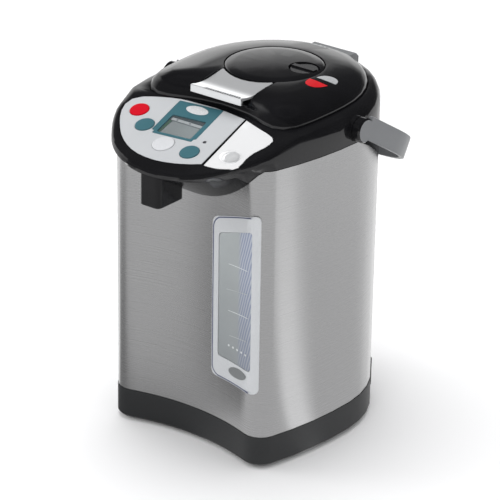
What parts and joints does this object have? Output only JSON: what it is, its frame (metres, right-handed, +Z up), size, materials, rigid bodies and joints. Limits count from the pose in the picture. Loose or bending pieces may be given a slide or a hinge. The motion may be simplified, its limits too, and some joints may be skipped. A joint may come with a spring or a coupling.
{
  "type": "electric thermo pot",
  "caption": "Upright electric water boiler: steel housing with hollow front, black nosed head with control panel, lid with air pump and lever, level window and folding bail handle.",
  "frame": {"origin": "centre of the bounding box at the surface that the feet stand on", "axes": "+Z up, -Y towards the cup under the spout, +X to the right of a person who faces the spout"},
  "size_m": [0.2312, 0.291, 0.345],
  "materials": {
    "gloss_black": "polished black plastic",
    "matt_black": "matt dark plastic",
    "brushed_steel": "upright brushed stainless steel",
    "bare_steel": "plain stainless steel",
    "chrome": "bright plated plastic",
    "silver_plastic": "silver lacquered plastic",
    "teal": "dark blue-green print",
    "red": "bright red",
    "grey_plastic": "mid grey plastic",
    "rubber": "black rubber",
    "silicone": "pale silicone",
    "clear": "clear plastic",
    "display_grey": "grey display glass",
    "board_green": "green circuit board",
    "zinc": "zinc plated metal",
    "white_plastic": "white plastic"
  },
  "bodies": {
    "housing": {"base_skirt": "matt_black", "bottom_plate": "matt_black", "rubber_foot_1": "rubber", "rubber_foot_2": "rubber", "rubber_foot_3": "rubber", "rubber_foot_4": "rubber", "base_screw_1": "zinc", "base_screw_2": "zinc", "base_screw_3": "zinc", "base_screw_4": "zinc", "steel_shell": "brushed_steel", "level_frame": "silver_plastic", "level_window": "clear", "level_tube": "clear", "head_frame": "gloss_black", "spout_housing": "matt_black", "spout_nozzle": "silicone", "outlet_elbow": "silicone", "control_panel": "silver_plastic", "display_frame": "teal", "display_window": "clear", "display_module": "display_grey", "lamp_lens": "red", "control_board": "board_green", "hinge_bracket": "zinc", "hinge_pin": "bare_steel", "inner_pot": "bare_steel", "pot_seal": "silicone", "heater_plate": "bare_steel", "heater_band": "zinc", "thermostat": "bare_steel", "pot_cradle": "matt_black", "pump_motor": "zinc", "pump_housing": "white_plastic", "riser_tube": "silicone", "power_board": "board_green", "power_inlet": "matt_black"},
    "lid": {"lid_cover": "gloss_black", "steam_vent": "matt_black", "lid_plate": "bare_steel", "lid_gasket": "silicone", "hinge_cover": "grey_plastic", "bellows": "rubber", "bellows_spring": "zinc"},
    "pump": {"pump_disc": "gloss_black"},
    "lock": {"lock_knob": "gloss_black"},
    "lever": {"lid_lever": "chrome"},
    "latch": {"lid_latch": "matt_black"},
    "handle": {"handle_bail": "grey_plastic", "handle_hub_right": "gloss_black", "handle_hub_left": "gloss_black"},
    "power": {"power_button": "red"},
    "boil": {"boil_button": "teal"},
    "keep_warm": {"keep_warm_button": "silver_plastic"},
    "unlock": {"unlock_button": "teal"},
    "key": {"dispense_key": "chrome"}
  },
  "joints": [
    {"name": "lid_hinge", "type": "hinge", "parent": "housing", "child": "lid", "pos_m": [0, 0.12905, 0.328], "axis": [-1, 0, 0], "range_deg": [0, 75]},
    {"name": "pump_press", "type": "slide", "parent": "lid", "child": "pump", "axis": [0, 0, 1], "range_m": [-0.014, 0], "stiffness_N_per_m": 150, "springref_m": 0.012, "deforming": ["bellows", "bellows_spring"]},
    {"name": "lock_turn", "type": "hinge", "parent": "pump", "child": "lock", "pos_m": [0.0285, 0.04385, 0.34], "axis": [0, 0, 1], "range_deg": [0, 30]},
    {"name": "lever_lift", "type": "hinge", "parent": "lid", "child": "lever", "pos_m": [0, -0.00795, 0.34], "axis": [-1, 0, 0], "range_deg": [0, 25], "stiffness_Nm_per_rad": 0.08, "springref_deg": -20.05},
    {"name": "latch_slide", "type": "slide", "parent": "lid", "child": "latch", "axis": [0, 1, 0], "range_m": [0, 0.0045]},
    {"name": "handle_pivot", "type": "hinge", "parent": "housing", "child": "handle", "pos_m": [0, 0.02305, 0.3105], "axis": [1, 0, 0], "range_deg": [0, 130]},
    {"name": "power_press", "type": "slide", "parent": "housing", "child": "power", "axis": [0, 0.2924, -0.9563], "range_m": [0, 0.001], "stiffness_N_per_m": 200, "springref_m": -0.002},
    {"name": "boil_press", "type": "slide", "parent": "housing", "child": "boil", "axis": [0, 0.2924, -0.9563], "range_m": [0, 0.001], "stiffness_N_per_m": 200, "springref_m": -0.002},
    {"name": "keep_warm_press", "type": "slide", "parent": "housing", "child": "keep_warm", "axis": [0, 0.2924, -0.9563], "range_m": [0, 0.001], "stiffness_N_per_m": 200, "springref_m": -0.002},
    {"name": "unlock_press", "type": "slide", "parent": "housing", "child": "unlock", "axis": [0, 0.2924, -0.9563], "range_m": [0, 0.001], "stiffness_N_per_m": 200, "springref_m": -0.002},
    {"name": "key_press", "type": "hinge", "parent": "housing", "child": "key", "pos_m": [0.05, -0.05345, 0.32203], "axis": [1, 0, 0], "range_deg": [0, 1], "stiffness_Nm_per_rad": 1, "springref_deg": -2.86}
  ],
  "couplings": [
    {"joint": "latch_slide", "follows": "lever_lift", "m_per_rad": 0.010084}
  ]
}
